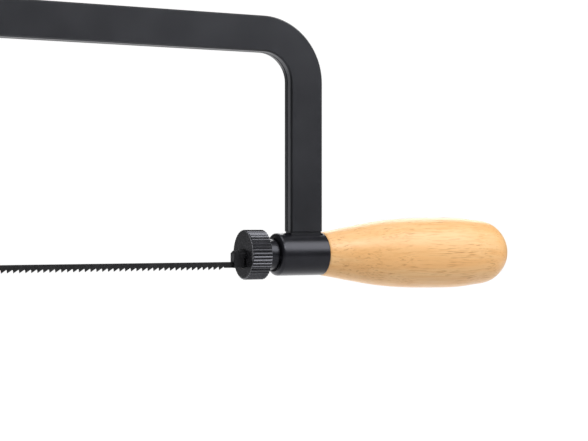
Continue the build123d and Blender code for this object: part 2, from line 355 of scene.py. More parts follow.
@dataclass(frozen=True)
class BlackOxide(Finish):
    """Blackened steel: near black, slightly metallic, with a drawn grain along X."""

    shade: Colour = (0.016, 0.016, 0.018)
    pale: Colour = (0.050, 0.050, 0.054)
    roughness: float = 0.40
    metallic: float = 0.55
    grain: float = 0.12 * MM
    grain_depth: float = 0.003 * MM

    def paint(self, sheet: NodeSheet, place: Field) -> dict[str, Any]:
        """Draw drawn grain, patchy oxide and small scuffs.

        Args:
            sheet: The material's tree.
            place: Object coordinates, in metres.

        Returns:
            Shader socket names and what feeds them.
        """
        drawn = sheet.noise(sheet.stretched(place, (0.03, 1.0, 1.0)), self.grain, 2.0)
        patch = sheet.noise(place, 3.5 * MM, 4.0, 0.6)
        scratch = sheet.noise(sheet.stretched(place, (0.2, 1.0, 1.0)), 0.6 * MM, 2.0, 0.6)
        scuff = sheet.remap(scratch, 0.66, 0.8)
        tint = (sheet.remap(patch, 0.35, 0.75) * 0.5 + drawn * 0.35 + scuff * 0.5).clamped()
        return {
            "Base Color": sheet.blend(tint, self.shade, self.pale),
            "Roughness": self.roughness + (patch - 0.5) * 0.18 - scuff * 0.08,
            "Metallic": self.metallic,
            "Normal": sheet.bump(drawn, self.grain_depth, 0.7),
        }


@dataclass(frozen=True)
class BladeSteel(Finish):
    """Blackened spring steel with rolled grain along it and ground steel at the tooth tips."""

    shade: Colour = (0.016, 0.016, 0.017)
    pale: Colour = (0.045, 0.045, 0.047)
    ground: Colour = (0.12, 0.12, 0.12)
    gullet_z: float = -6.5 * MM
    tip_z: float = -8.1 * MM

    def paint(self, sheet: NodeSheet, place: Field) -> dict[str, Any]:
        """Draw rolled grain and brighter tips.

        Args:
            sheet: The material's tree.
            place: Object coordinates, in metres.

        Returns:
            Shader socket names and what feeds them.
        """
        rolled = sheet.noise(sheet.stretched(place, (0.02, 1.0, 1.0)), 0.10 * MM, 2.0)
        patch = sheet.noise(place, 5 * MM, 3.0)
        height = sheet.node("ShaderNodeSeparateXYZ", {}, {0: place}, "Z")
        tips = sheet.remap(height * -1.0, -self.gullet_z, -self.tip_z, 0.0, 0.35)
        filed = sheet.noise(sheet.stretched(place, (1.0, 1.0, 0.1)), 0.08 * MM, 1.0)
        tint = (rolled * 0.5 + sheet.remap(patch, 0.4, 0.75) * 0.4).clamped()
        body = sheet.blend(tint, self.shade, self.pale)
        return {
            "Base Color": sheet.blend(tips * (0.6 + filed * 0.8), body, self.ground),
            "Roughness": 0.42 + (patch - 0.5) * 0.2 - tips * 0.15,
            "Metallic": 0.6,
            "Normal": sheet.bump(rolled, 0.002 * MM, 0.7),
        }


@dataclass(frozen=True)
class BareMetal(Finish):
    """Plain turned metal: steel or brass."""

    shade: Colour = (0.36, 0.36, 0.37)
    pale: Colour = (0.52, 0.52, 0.53)
    roughness: float = 0.3

    def paint(self, sheet: NodeSheet, place: Field) -> dict[str, Any]:
        """Draw turning marks and a dull patchy film.

        Args:
            sheet: The material's tree.
            place: Object coordinates, in metres.

        Returns:
            Shader socket names and what feeds them.
        """
        rings = sheet.noise(sheet.stretched(place, (1.0, 0.03, 0.03)), 0.25 * MM, 2.0)
        film = sheet.noise(place, 2.5 * MM, 4.0, 0.6)
        return {
            "Base Color": sheet.blend(sheet.remap(film, 0.3, 0.75), self.shade, self.pale),
            "Roughness": self.roughness + (film - 0.5) * 0.2,
            "Metallic": 1.0,
            "Normal": sheet.bump(rings, 0.004 * MM, 0.6),
        }


@dataclass(frozen=True)
class LacqueredBeech(Finish):
    """Pale turned wood under satin lacquer: honey bands and short brown flecks along X."""

    honey: Colour = (0.88, 0.49, 0.19)
    cream: Colour = (0.89, 0.555, 0.255)
    amber: Colour = (0.79, 0.40, 0.135)
    fleck: Colour = (0.55, 0.225, 0.055)
    band_size: float = 9.0 * MM
    fleck_width: float = 0.55 * MM
    pore_width: float = 0.5 * MM

    def paint(self, sheet: NodeSheet, place: Field) -> dict[str, Any]:
        """Draw bands, streaks, flecks and pores, and the lacquer's gloss.

        Args:
            sheet: The material's tree.
            place: Object coordinates, in metres.

        Returns:
            Shader socket names and what feeds them.
        """
        sway = sheet.noise(sheet.stretched(place, (0.35, 1.0, 1.0)), 16 * MM, 1.0)
        swayed = sheet.node("ShaderNodeVectorMath", {"operation": "MULTIPLY_ADD"}, {
            0: sheet.node("ShaderNodeCombineXYZ", {}, {1: sway, 2: sway}),
            1: (0.0, 2.2 * MM, 2.2 * MM),
            2: place,
        })
        bands = sheet.noise(sheet.stretched(swayed, (0.10, 1.0, 1.0)), self.band_size, 3.0, 0.55)
        streak = sheet.noise(sheet.stretched(swayed, (0.04, 1.0, 1.0)), 1.3 * MM, 3.0, 0.6)
        along_fleck = sheet.stretched(swayed, (0.042, 1.0, 1.0), (3.1, 0.7, 0.2))
        along_pore = sheet.stretched(swayed, (0.07, 1.0, 1.0), (0.4, 2.9, 1.7))
        long_fleck = sheet.noise(along_fleck, self.fleck_width, 1.0)
        short_fleck = sheet.noise(along_pore, self.pore_width, 1.0)
        flecks = sheet.remap(long_fleck, 0.575, 0.68)
        pores = sheet.remap(short_fleck, 0.61, 0.71)
        patch = sheet.noise(sheet.stretched(place, (0.6, 1.0, 1.0)), 8 * MM, 2.0)
        patchy = sheet.remap(patch, 0.36, 0.60, 0.15, 1.0)
        ground = sheet.blend(sheet.remap(bands, 0.35, 0.68), self.honey, self.cream)
        ground = sheet.blend(sheet.remap(streak, 0.46, 0.72) * 0.65, ground, self.amber)
        marks = (flecks * 0.62 + pores * 0.45) * patchy
        return {
            "Base Color": sheet.blend(marks.clamped(), ground, self.fleck),
            "Roughness": 0.44 + (streak - 0.5) * 0.12 + marks * 0.10,
            "Coat Weight": 0.22,
            "Coat Roughness": 0.28,
            "Normal": sheet.bump(1.0 - marks, 0.008 * MM, 0.3),
        }


@dataclass(frozen=True)
class StudioPaper(Finish):
    """Pale seamless paper for the floor."""

    shade: Colour = (0.55, 0.55, 0.55)
    glow: float = 0.9
    glow_start: float = -0.15
    glow_full: float = 0.35

    def paint(self, sheet: NodeSheet, place: Field) -> dict[str, Any]:
        """Draw a faint mottle, and a glow behind the saw.

        Args:
            sheet: The material's tree.
            place: Object coordinates, in metres.

        Returns:
            Shader socket names and what feeds them.
        """
        mottle = sheet.noise(place, 0.3, 2.0)
        darker = tuple(0.97 * c for c in self.shade)
        depth = sheet.node("ShaderNodeSeparateXYZ", {}, {0: place}, "Y")
        lit = sheet.remap(depth, self.glow_start, self.glow_full)
        paint = sheet.blend(mottle, darker, self.shade)
        glow = sheet.blend(lit, (0.0, 0.0, 0.0), (1.0, 1.0, 1.0))
        return {
            "Base Color": paint,
            "Roughness": 0.9,
            "Emission Color": glow,
            "Emission Strength": self.glow,
        }


POWDER_COAT = PowderCoat("powder_coat_black")
SOCKET_LACQUER = SatinBlack("socket_satin_black")
KNOB_LACQUER = SatinBlack(
    "knob_satin_black",
    shade=(0.009, 0.009, 0.010),
    pale=(0.016, 0.016, 0.018),
    roughness=0.22,
    ring_pitch=0.35 * MM,
    ring_depth=0.0012 * MM,
    ior=1.75,
)
OXIDE = BlackOxide("blackened_steel")
BLADE_STEEL = BladeSteel("blade_steel")
STEEL = BareMetal("plain_steel")
BRASS = BareMetal("brass", (0.55, 0.36, 0.12), (0.74, 0.53, 0.22), 0.32)
BEECH = LacqueredBeech("lacquered_beech")
PAPER = StudioPaper("studio_paper")


# ---------------------------------------------------------------- shapes


def span_mm(node: str) -> tuple[Vector, Vector]:
    """Lowest and highest corner of a CAD node, in millimetres."""
    low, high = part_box(node)
    return low / MM, high / MM


def rounded(
    corners: Sequence[tuple[float, float, float]], steps: int = 4, closed: bool = False
) -> list[Point]:
    """Round the corners of a line.

    Args:
        corners: Each corner's place and radius.
        steps: Segments in each rounding.
        closed: Whether the last corner joins the first.

    Returns:
        The line's points.
    """
    out: list[Point] = []
    count = len(corners)
    for i, (x, y, radius) in enumerate(corners):
        ends = not closed and i in (0, count - 1)
        if radius <= 0 or ends:
            out.append((x, y))
            continue
        here = Vector((x, y))
        back = (Vector(corners[i - 1][:2]) - here).normalized()
        ahead = (Vector(corners[(i + 1) % count][:2]) - here).normalized()
        half = back.angle(ahead) / 2
        centre = here + (back + ahead).normalized() * (radius / math.sin(half))
        start = here + back * (radius / math.tan(half)) - centre
        finish = here + ahead * (radius / math.tan(half)) - centre
        turn = start.angle_signed(finish)
        for step in range(steps + 1):
            arm = start.copy()
            arm.rotate(Matrix.Rotation(-turn * step / steps, 2))
            out.append(tuple(centre + arm))
    return out


def flowing(knots: Sequence[Point], first: Point, last: Point, steps: int = 10) -> list[Point]:
    """A smooth line through knots.

    Args:
        knots: Points that the line passes through.
        first: Direction at its start.
        last: Direction at its end.
        steps: Points for each span between knots.

    Returns:
        The line's points, both ends among them.
    """
    places = [Vector(k) for k in knots]
    chords = [(b - a).length for a, b in zip(places, places[1:])]
    slopes = [Vector(first).normalized()]
    for i in range(1, len(places) - 1):
        before = (places[i] - places[i - 1]) / chords[i - 1]
        after = (places[i + 1] - places[i]) / chords[i]
        slopes.append((before * chords[i] + after * chords[i - 1]) / (chords[i] + chords[i - 1]))
    slopes.append(Vector(last).normalized())
    out: list[Point] = []
    for i, chord in enumerate(chords):
        for step in range(steps):
            t = step / steps
            a = places[i] * (2 * t**3 - 3 * t**2 + 1) + slopes[i] * (chord * (t**3 - 2 * t**2 + t))
            b = places[i + 1] * (3 * t**2 - 2 * t**3) + slopes[i + 1] * (chord * (t**3 - t**2))
            out.append(tuple(a + b))
    return [*out, tuple(places[-1])]


class Shape:
    """Builds meshes. Every measure handed in is in millimetres."""

    SEGMENTS = 144

    @staticmethod
    def linked(name: str, data: bpy.types.ID) -> bpy.types.Object:
        """A new object in the scene that holds a mesh, light or camera.

        Args:
            name: The object's name.
            data: What it holds.

        Returns:
            The object.
        """
        made = bpy.data.objects.new(name, data)
        bpy.context.scene.collection.objects.link(made)
        return made

    @classmethod
    def from_maker(
        cls, name: str, maker: bmesh.types.BMesh, scale: float = MM, recalculate: bool = True
    ) -> bpy.types.Object:
        """Turn a bmesh into a linked object.

        Args:
            name: The object's name.
            maker: The bmesh, which is freed.
            scale: What takes its units to metres.
            recalculate: Whether its faces are turned outwards.

        Returns:
            The object.
        """
        if recalculate:
            bmesh.ops.recalc_face_normals(maker, faces=maker.faces)
        mesh = bpy.data.meshes.new(name)
        maker.to_mesh(mesh)
        maker.free()
        if scale != 1.0:
            mesh.transform(Matrix.Scale(scale, 4))
        return cls.linked(name, mesh)

    @classmethod
    def lathe(cls, name: str, profile: Sequence[Point], segments: int = 0) -> bpy.types.Object:
        """Turn a profile round the X axis.

        Args:
            name: The object's name.
            profile: (x, radius) points, starting and ending on the axis or on one point.
            segments: Number of steps round the axis.

        Returns:
            A closed shape.
        """
        count = segments or cls.SEGMENTS
        maker = bmesh.new()
        loop = profile[0] == profile[-1]
        rings = []
        for x, radius in profile[:-1] if loop else profile:
            if radius < 1e-6:
                rings.append([maker.verts.new((x, 0, 0))])
                continue
            turns = [2 * math.pi * i / count for i in range(count)]
            rim = [(x, radius * math.cos(t), radius * math.sin(t)) for t in turns]
            rings.append([maker.verts.new(corner) for corner in rim])
        pairs = list(zip(rings, rings[1:])) + ([(rings[-1], rings[0])] if loop else [])
        for first, second in pairs:
            for i in range(count):
                j = (i + 1) % count
                near = [first[i % len(first)], first[j % len(first)]]
                far = [second[j % len(second)], second[i % len(second)]]
                unique = list(dict.fromkeys([*near, *far]))
                if len(unique) > 2:
                    maker.faces.new(unique)
        return cls.from_maker(name, maker)

    @classmethod
    def strip(
        cls,
        name: str,
        outline: Sequence[Point],
        half_width: float,
        open_sides: Sequence[int] = (),
        lean: Optional[dict[int, float]] = None,
        faces: Optional[Sequence[Sequence[int]]] = None,
    ) -> bpy.types.Object:
        """A flat outline in XZ given a thickness across Y.

        Args:
            name: The object's name.
            outline: (x, z) points in order.
            half_width: Half the thickness.
            open_sides: Numbers of the outline's sides that get no wall.
            lean: Point number to how far that point is pushed across Y.
            faces: Point numbers of each face of the flat side, or None for one face.

        Returns:
            The shape, open only at the open sides.
        """
        maker = bmesh.new()
        shift = lean or {}
        sides = []
        for y in (-half_width, half_width):
            places = [(x, y + shift.get(i, 0.0), z) for i, (x, z) in enumerate(outline)]
            sides.append([maker.verts.new(corner) for corner in places])
        near, far = sides
        for face in faces or [range(len(outline))]:
            maker.faces.new([near[i] for i in face])
            maker.faces.new([far[i] for i in reversed(face)])
        for i in range(len(outline)):
            if i not in open_sides:
                j = (i + 1) % len(outline)
                maker.faces.new([near[j], near[i], far[i], far[j]])
        return cls.from_maker(name, maker)

    @classmethod
    def block(
        cls, name: str, outline: Sequence[Point], low: float, high: float
    ) -> bpy.types.Object:
        """A closed XY outline raised from one height to another.

        Args:
            name: The object's name.
            outline: (x, y) points in order, anticlockwise.
            low: Height of the floor.
            high: Height of the roof.

        Returns:
            The closed block.
        """
        maker = bmesh.new()
        floor = [maker.verts.new((x, y, low)) for x, y in outline]
        roof = [maker.verts.new((x, y, high)) for x, y in outline]
        maker.faces.new(floor[::-1])
        maker.faces.new(roof)
        for i in range(len(outline)):
            j = (i + 1) % len(outline)
            maker.faces.new([floor[i], floor[j], roof[j], roof[i]])
        return cls.from_maker(name, maker)

    @classmethod
    def loop(cls, name: str, outline: Sequence[Point]) -> bpy.types.Object:
        """A closed line in XY, used as the section of a sweep.

        Args:
            name: The object's name.
            outline: (x, y) points in order.

        Returns:
            The line, without faces.
        """
        maker = bmesh.new()
        points = [maker.verts.new((x, y, 0)) for x, y in outline]
        for i, point in enumerate(points):
            maker.edges.new((point, points[(i + 1) % len(points)]))
        return cls.from_maker(name, maker, recalculate=False)

    @staticmethod
    def rectangle(x: float, length: float, width: float, corner: float) -> list[Point]:
        """A rounded rectangle in XY, centred on (x, 0).

        Args:
            x: Middle of its length.
            length: Size along X.
            width: Size along Y.
            corner: Radius of its corners.

        Returns:
            The outline's points.
        """
        half, deep = length / 2, width / 2
        signs = ((1, 1), (-1, 1), (-1, -1), (1, -1))
        return rounded([(x + a * half, b * deep, corner) for a, b in signs], 6, True)

    @staticmethod
    def flatten(made: bpy.types.Object) -> bpy.types.Object:
        """Apply the modifiers, and leave one plain mesh.

        Args:
            made: The piece.

        Returns:
            The same piece, without modifiers.
        """
        depsgraph = bpy.context.evaluated_depsgraph_get()
        mesh = bpy.data.meshes.new_from_object(made.evaluated_get(depsgraph))
        made.modifiers.clear()
        made.data = mesh
        mesh.name = made.name
        return made

    @classmethod
    def cut(cls, made: bpy.types.Object, tool: bpy.types.Object) -> bpy.types.Object:
        """Take a tool's shape out of a piece, and throw the tool away.

        Args:
            made: The piece.
            tool: The shape to take out of it.

        Returns:
            The same piece.
        """
        modifier = made.modifiers.new("cut", "BOOLEAN")
        modifier.operation = "DIFFERENCE"
        modifier.solver = "EXACT"
        modifier.object = tool
        cls.flatten(made)
        bpy.data.objects.remove(tool)
        return made

    @classmethod
    def ease(
        cls, made: bpy.types.Object, width: float, angle: float = 30.0, steps: int = 2
    ) -> bpy.types.Object:
        """Round off the edges sharper than an angle.

        Args:
            made: The piece.
            width: Width of the rounding.
            angle: Edges sharper than this, in degrees, are rounded.
            steps: Segments across each rounding.

        Returns:
            The same piece.
        """
        modifier = made.modifiers.new("ease", "BEVEL")
        modifier.width = width * MM
        modifier.segments = steps
        modifier.limit_method = "ANGLE"
        modifier.angle_limit = math.radians(angle)
        modifier.use_clamp_overlap = True
        return cls.flatten(made)

    @classmethod
    def smooth(cls, made: bpy.types.Object, angle: float = 32.0) -> bpy.types.Object:
        """Shade smoothly, with sharper edges kept and large faces left flat.

        Args:
            made: The piece.
            angle: Edges sharper than this, in degrees, stay sharp.

        Returns:
            The same piece.
        """
        made.data.shade_smooth()
        made.data.set_sharp_from_angle(angle=math.radians(angle))
        modifier = made.modifiers.new("normals", "WEIGHTED_NORMAL")
        modifier.weight = 100
        modifier.keep_sharp = True
        return cls.flatten(made)

    @classmethod
    def from_node(
        cls, node: str, name: str, width: float, steps: int = 2
    ) -> bpy.types.Object:
        """A copy of a CAD node as one clean mesh with eased edges.

        Args:
            node: The CAD node.
            name: The new piece's name.
            width: Width of the eased edges.
            steps: Segments across each eased edge.

        Returns:
            The new piece.
        """
        maker = bmesh.new()
        maker.from_mesh(frame["nodes"][node].data)
        bmesh.ops.remove_doubles(maker, verts=maker.verts, dist=0.002 * MM)
        bmesh.ops.dissolve_limit(
            maker, angle_limit=math.radians(0.4), verts=maker.verts, edges=maker.edges
        )
        return cls.ease(cls.from_maker(name, maker, 1.0), width, 30.0, steps)

    @classmethod
    def joined(cls, made: bpy.types.Object, gap: float = 0.004) -> bpy.types.Object:
        """Join points closer than a gap, and make every face point out.

        Args:
            made: The piece.
            gap: Points nearer than this become one.

        Returns:
            The same piece.
        """
        maker = bmesh.new()
        maker.from_mesh(made.data)
        bmesh.ops.remove_doubles(maker, verts=maker.verts, dist=gap * MM)
        bmesh.ops.recalc_face_normals(maker, faces=maker.faces)
        maker.to_mesh(made.data)
        maker.free()
        return made


def hand_over(
    made: bpy.types.Object, body: Body, slot: Slot, finish: Finish, *nodes: str
) -> None:
    """Dress a finished piece and hand it to its body.

    Args:
        made: The piece.
        body: The body that it rides on.
        slot: The record's slot that it belongs to; not used.
        finish: Its surface.
        nodes: CAD nodes that it stands for.
    """
    made.data.materials.clear()
    made.data.materials.append(finish.material())
    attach(made, body.value)
    if nodes:
        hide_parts(*nodes)
    LOG.info("%s: %d faces, rides on %s", made.name, len(made.data.polygons), body.value)


def dress_node(node: str, finish: Finish) -> None:
    """Give a CAD node that stays in view a better material."""
    for slot in frame["nodes"][node].material_slots:
        slot.material = finish.material()
    LOG.info("%s: CAD node kept, dressed as %s", node, finish.name)


class Growth:
    """A geometry tree with named inputs, run once on a new object."""

    def __init__(self, name: str, inputs: dict[str, tuple[str, Any]]) -> None:
        """Start a tree.

        Args:
            name: The tree's name, and its piece's.
            inputs: Input name to its socket type and value.
        """
        self.name = name
        self.inputs = inputs
        self.tree = bpy.data.node_groups.new(name, "GeometryNodeTree")
        sockets = self.tree.interface
        sockets.new_socket("Geometry", in_out="OUTPUT", socket_type="NodeSocketGeometry")
        self.identifiers = {}
        for label, (kind, _) in inputs.items():
            socket = sockets.new_socket(label, in_out="INPUT", socket_type=kind)
            self.identifiers[label] = socket.identifier
        self.sheet = NodeSheet(self.tree)
        self.entry = self.tree.nodes.new("NodeGroupInput")

    def given(self, label: str) -> Field:
        """One of the tree's inputs."""
        return Field(self.sheet, self.entry.outputs[label])

    def geometry(self, label: str, as_instance: bool = False) -> Field:
        """The geometry of the object given as an input."""
        values = {"Object": self.given(label), "As Instance": as_instance}
        return self.sheet.node("GeometryNodeObjectInfo", {}, values, "Geometry")

    def finish(self, result: Field, finish: Finish) -> bpy.types.Object:
        """Close the tree, run it and return the plain mesh.

        Args:
            result: The geometry.
            finish: The surface set on it.

        Returns:
            The new piece, without a modifier.
        """
        real = self.sheet.node("GeometryNodeRealizeInstances", {}, {0: result})
        values = {"Geometry": real, "Material": finish.material()}
        painted = self.sheet.node("GeometryNodeSetMaterial", {}, values)
        way_out = self.tree.nodes.new("NodeGroupOutput")
        self.tree.links.new(painted.socket, way_out.inputs[0])
        made = Shape.linked(self.name, bpy.data.meshes.new(self.name))
        modifier = made.modifiers.new(self.name, "NODES")
        modifier.node_group = self.tree
        for label, (_, value) in self.inputs.items():
            modifier[self.identifiers[label]] = value
        Shape.flatten(made)
        for _, value in self.inputs.values():
            if isinstance(value, bpy.types.Object):
                bpy.data.objects.remove(value)
        return Shape.joined(made)


# ---------------------------------------------------------------- the saw


@dataclass
class Bow:
    """The flat bar bent to a U, cast in two halves with a seam along its narrow sides."""

    bend_radius: float = 26.0
    bend_steps: int = 28
    edge_break: float = 1.05
    arris: float = 0.14
    draft: float = 0.24
    growth: float = 0.34
    seam_width: float = 1.0
    seam_depth: float = 1.3
    seam_round: float = 0.06
    eased: float = 0.55
    waist_corner: float = 0.8
    foot_z: float = 12.7
    waist_inset_x: float = 0.15
    waist_inset_y: float = 1.1
    saddle_z: float = 10.5
    waist_sink: float = 0.6

    def section(self, width: float, thickness: float) -> list[Point]:
        """The bar's outline across its length.

        Args:
            width: Across the flat sides.
            thickness: Between the flat sides.

        Returns:
            A closed outline, with the narrow sides at its left and right.
        """
        half, deep = width / 2 + self.growth, thickness / 2
        quarter = [
            (half - self.seam_depth, 0.0, 0.0),
            (half, self.seam_width / 2, self.seam_round),
            (half - self.draft, deep - self.edge_break, self.arris),
            (half - self.edge_break, deep, self.arris),
        ]
        right_up = quarter
        left_up = [(-x, y, r) for x, y, r in reversed(quarter)]
        left_down = [(-x, -y, r) for x, y, r in quarter[1:]]
        right_down = [(x, -y, r) for x, y, r in reversed(quarter[1:])]
        return rounded([*right_up, *left_up, *left_down, *right_down], 3, True)

    def build(self) -> None:
        """Make the swept bar and its two waists."""
        low, high = span_mm("frame")
        width = high.z - self.throat_roof()
        inner = self.section(width, high.y - low.y)
        heel_x, toe_x = high.x - width / 2, low.x + width / 2
        growth = Growth("bow", {
            "Section": ("NodeSocketObject", Shape.loop("bow_section", inner)),
            "Leg distance": ("NodeSocketFloat", (heel_x - toe_x) * MM),
            "Foot height": ("NodeSocketFloat", self.foot_z * MM),
            "Bar height": ("NodeSocketFloat", (high.z - width / 2) * MM),
            "Bend radius": ("NodeSocketFloat", self.bend_radius * MM),
            "Bend steps": ("NodeSocketInt", self.bend_steps),
            "Heel leg": ("NodeSocketFloat", heel_x * MM),
        })
        sheet = growth.sheet
        index = sheet.node("GeometryNodeInputIndex")
        up = (index > 0.5) * (index < 2.5)
        foot = growth.given("Foot height")
        corners = sheet.node("ShaderNodeCombineXYZ", {}, {
            "X": (index > 1.5) * growth.given("Leg distance") * -1.0,
            "Y": foot + (growth.given("Bar height") - foot) * up,
        })
        line = sheet.node("GeometryNodeMeshLine", {"mode": "OFFSET"}, {"Count": 4})
        path = sheet.node("GeometryNodeSetPosition", {}, {"Geometry": line, "Position": corners})
        path = sheet.node("GeometryNodeMeshToCurve", {}, {0: path})
        path = sheet.node("GeometryNodeFilletCurve", {"mode": "POLY"}, {
            "Curve": path,
            "Count": growth.given("Bend steps"),
            "Radius": growth.given("Bend radius"),
        })
        path = sheet.node("GeometryNodeSetCurveNormal", {"mode": "Z_UP"}, {0: path})
        outline = sheet.node("GeometryNodeMeshToCurve", {}, {0: growth.geometry("Section")})
        bar = sheet.node("GeometryNodeCurveToMesh", {}, {
            "Curve": path, "Profile Curve": outline, "Fill Caps": True,
        })
        shift = sheet.node("ShaderNodeCombineXYZ", {}, {"X": growth.given("Heel leg")})
        bar = sheet.node("GeometryNodeTransform", {}, {
            "Geometry": bar, "Translation": shift, "Rotation": (math.pi / 2, 0.0, 0.0),
        })
        bow = growth.finish(bar, POWDER_COAT)
        Shape.ease(bow, self.eased, 80.0, 3)
        hand_over(Shape.smooth(bow, 25.0), Body.FRAME, Slot.BOW, POWDER_COAT, "frame")
        for label, x in (("heel", heel_x), ("toe", toe_x)):
            depth = high.y - low.y - 2 * self.waist_inset_y
            length = width - 2 * self.waist_inset_x
            outline = Shape.rectangle(x, length, depth, self.waist_corner)
            top = self.foot_z + self.waist_sink
            waist = Shape.block(f"bow_waist_{label}", outline, self.saddle_z, top)
            hand_over(Shape.smooth(waist), Body.FRAME, Slot.BOW, POWDER_COAT)

    @staticmethod
    def throat_roof() -> float:
        """Height of the top bar's underside, from the record's hanging mount."""
        mounts = {m["name"]: m for m in frame["record"]["mounts"]}
        return mounts["hang_rest"]["pos_m"][2] / MM


@dataclass
class Sockets:
    """The round sockets that the bow's feet stand on."""

    end_round: float = 2.5
    mouth_round: float = 0.35
    neck_radius: float = 8.8
    neck_depth: float = 4.0
    bore_radius: float = 6.05
    bore_end: float = -67.2
    stud_radius: float = 4.02
    stud_depth: float = 5.0
    saddle_z: float = 10.5
    saddle_length: float = 20.5
    saddle_width: float = 12.4
    saddle_corner: float = 2.5
    cutter_height: float = 4.0
    shank_radius: float = 3.1
    eased: float = 0.32

    def build(self) -> None:
        """Make both sockets."""
        self.handle_socket()
        self.toe_socket()

    def saddled(self, made: bpy.types.Object, x: float) -> bpy.types.Object:
        """Mill the flat for the bow's foot, and ease the edges.

        Args:
            made: The socket.
            x: Middle of the flat.

        Returns:
            The finished socket.
        """
        outline = Shape.rectangle(x, self.saddle_length, self.saddle_width, self.saddle_corner)
        top = self.saddle_z + self.cutter_height
        Shape.cut(made, Shape.block("saddle_cutter", outline, self.saddle_z, top))
        Shape.ease(made, self.eased, 22.0, 3)
        return Shape.smooth(made, 28.0)

    def handle_socket(self) -> None:
        """The socket between knob and grip."""
        low, high = span_mm("handle_socket")
        front, back, radius = low.x, high.x, high.y
        neck_floor = front + self.neck_depth
        profile = rounded([
            (self.bore_end, 0.0, 0.0),
            (self.bore_end, self.bore_radius, 0.0),
            (neck_floor, self.bore_radius, 0.0),
            (neck_floor, self.neck_radius, 0.3),
            (front, self.neck_radius, self.mouth_round),
            (front, radius, self.end_round),
            (back, radius, 0.4),
            (back, self.stud_radius, 0.0),
            (back - self.stud_depth, self.stud_radius, 0.0),
            (back - self.stud_depth, 0.0, 0.0),
        ], 6)
        made = Shape.lathe("handle_socket_body", profile)
        frame_high = span_mm("frame")[1]
        leg_x = frame_high.x - (frame_high.z - Bow.throat_roof()) / 2
        made = self.saddled(made, leg_x)
        hand_over(made, Body.FRAME, Slot.SOCKET, SOCKET_LACQUER, "handle_socket")

    def toe_socket(self) -> None:
        """The socket at the toe, bored through for the holder's shank."""
        low, high = span_mm("toe_socket")
        radius = high.y
        profile = rounded([
            (low.x, self.shank_radius, 0.0),
            (low.x, radius, self.end_round),
            (high.x, radius, self.end_round),
            (high.x, self.shank_radius, 0.0),
        ], 6)
        made = Shape.lathe("toe_socket_body", [*profile, profile[0]])
        made = self.saddled(made, (low.x + high.x) / 2)
        hand_over(made, Body.FRAME, Slot.SOCKET, SOCKET_LACQUER, "toe_socket")


@dataclass
class Grip:
    """The turned wooden grip."""

    knots: tuple[Point, ...] = (
        (-60.5, 12.2), (-46.0, 14.8), (-25.0, 18.35), (7.0, 20.35),
        (37.0, 19.5), (52.0, 16.4), (59.0, 9.6), (61.0, 0.0),
    )
    front_break: float = 0.5
    bore_radius: float = 6.02
    stud_radius: float = 4.1
    insert_length: float = 25.0
    bore_depth: float = 49.0
    front_slope: float = 0.16
    segments: int = 160

    def build(self) -> None:
        """Make the grip and dress the parts inside it."""
        low, high = span_mm("handle")
        front = low.x
        step = front + self.insert_length
        end = front + self.bore_depth
        outside = flowing(self.knots, (1.0, self.front_slope), (0.0, -1.0), 12)
        inside = [
            (end, 0.0), (end, self.stud_radius), (step, self.stud_radius), (step, self.bore_radius),
            (front, self.bore_radius), (front, self.knots[0][1] - self.front_break),
        ]
        made = Shape.lathe("grip", [*inside, *outside], self.segments)
        hand_over(Shape.smooth(made, 40.0), Body.FRAME, Slot.WOOD, BEECH, "handle")
        dress_node("handle_tang", STEEL)
        dress_node("handle_insert", BRASS)


